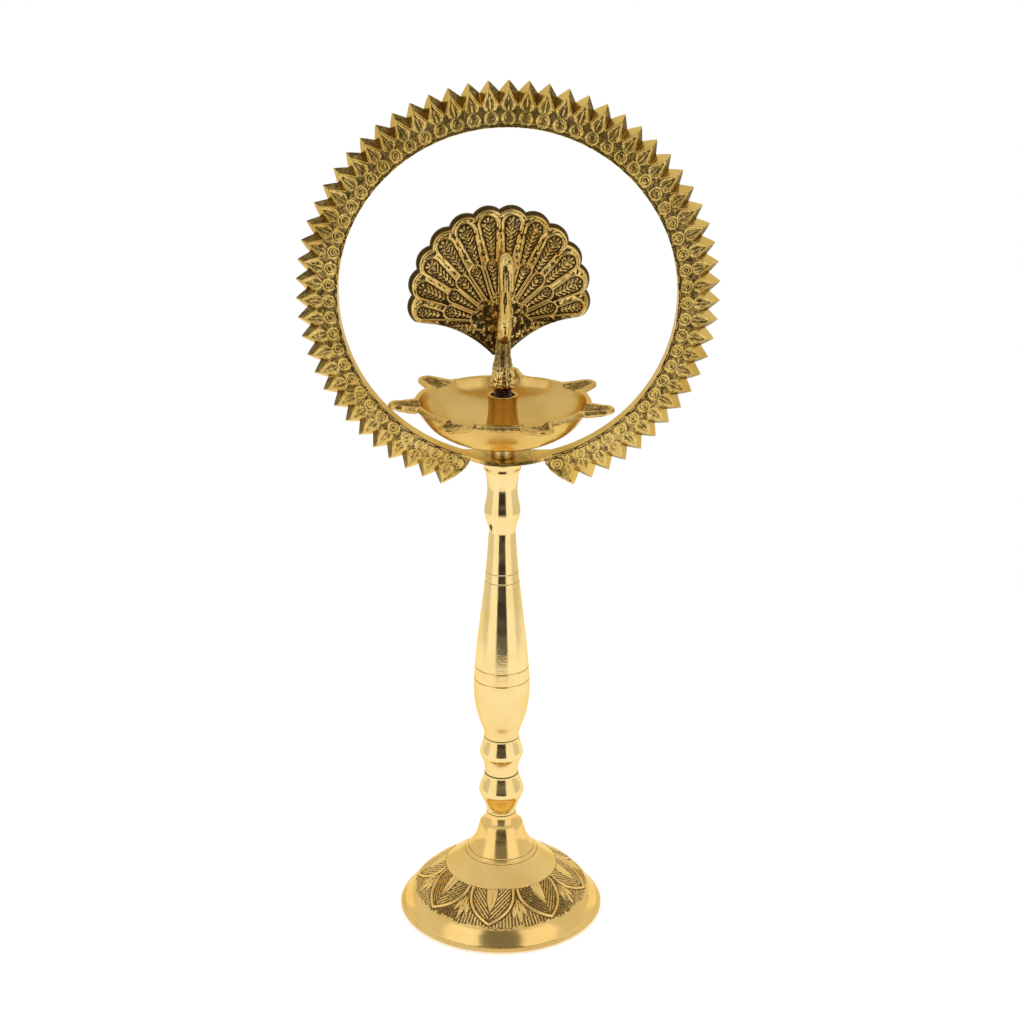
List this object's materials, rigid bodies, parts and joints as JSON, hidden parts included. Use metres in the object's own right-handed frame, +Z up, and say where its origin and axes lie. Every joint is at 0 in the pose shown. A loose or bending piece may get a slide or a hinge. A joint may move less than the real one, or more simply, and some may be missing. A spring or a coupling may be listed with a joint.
{
  "type": "standing oil lamp",
  "caption": "Standing oil lamp: bell foot, turned column, spouted dish inside a toothed ring, and a peacock finial on a threaded stud.",
  "frame": {"origin": "on the column's axis, at the surface that the foot stands on", "axes": "+Z up along the column; -Y is the front, which the peacock faces; the ring lies in the XZ plane"},
  "size_m": [0.1774, 0.095, 0.3775],
  "materials": {
    "base": "polished, with a dark patina in the embossed band",
    "turned_brass": "turned and polished",
    "cast_brass": "cast, antique patina in the recesses, filed tooth flanks",
    "dish_brass": "turned satin inside, cast rough spouts",
    "peacock_brass": "cast, antique patina in the recesses",
    "steel": "plain zinc plated",
    "dark_steel": "oxidised"
  },
  "bodies": {
    "foot": {"base": "base", "base_washer": "steel", "base_nut": "steel", "tie_rod": "steel"},
    "lower_bead": {"lower_bead": "turned_brass"},
    "upper_bead": {"upper_bead": "turned_brass"},
    "column": {"stem": "turned_brass"},
    "top_stud": {"upper_stud": "steel", "spacer": "turned_brass"},
    "ring": {"prabhavali": "cast_brass"},
    "dish": {"oil_dish": "dish_brass"},
    "collar": {"collar": "turned_brass"},
    "finial_stud": {"finial_stud": "dark_steel"},
    "peacock": {"peacock_body": "peacock_brass", "peacock_tail": "peacock_brass"}
  },
  "joints": [
    {"name": "lower_bead_lift", "type": "slide", "parent": "foot", "child": "lower_bead", "axis": [0, 0, 1], "range_m": [0, 0.006]},
    {"name": "upper_bead_lift", "type": "slide", "parent": "lower_bead", "child": "upper_bead", "axis": [0, 0, 1], "range_m": [0, 0.006]},
    {"name": "column_unscrew", "type": "slide", "parent": "upper_bead", "child": "column", "axis": [0, 0, 1], "range_m": [0, 0.015]},
    {"name": "upper_stud_unscrew", "type": "slide", "parent": "column", "child": "top_stud", "axis": [0, 0, 1], "range_m": [0, 0.013]},
    {"name": "ring_turn", "type": "hinge", "parent": "top_stud", "child": "ring", "pos_m": [0, 0, 0.2174], "axis": [0, 0, 1], "continuous": true},
    {"name": "dish_turn", "type": "hinge", "parent": "top_stud", "child": "dish", "pos_m": [0, 0, 0.2248], "axis": [0, 0, 1], "continuous": true},
    {"name": "collar_unscrew", "type": "slide", "parent": "top_stud", "child": "collar", "axis": [0, 0, 1], "range_m": [0, 0.0105]},
    {"name": "finial_rise", "type": "slide", "parent": "collar", "child": "finial_stud", "axis": [0, 0, 1], "range_m": [0, 0.0079]},
    {"name": "peacock_turn", "type": "hinge", "parent": "finial_stud", "child": "peacock", "pos_m": [0, 0, 0.25], "axis": [0, 0, 1], "range_deg": [0, 2250]}
  ],
  "couplings": [
    {"joint": "finial_rise", "follows": "peacock_turn", "m_per_rad": 0.00019894}
  ]
}
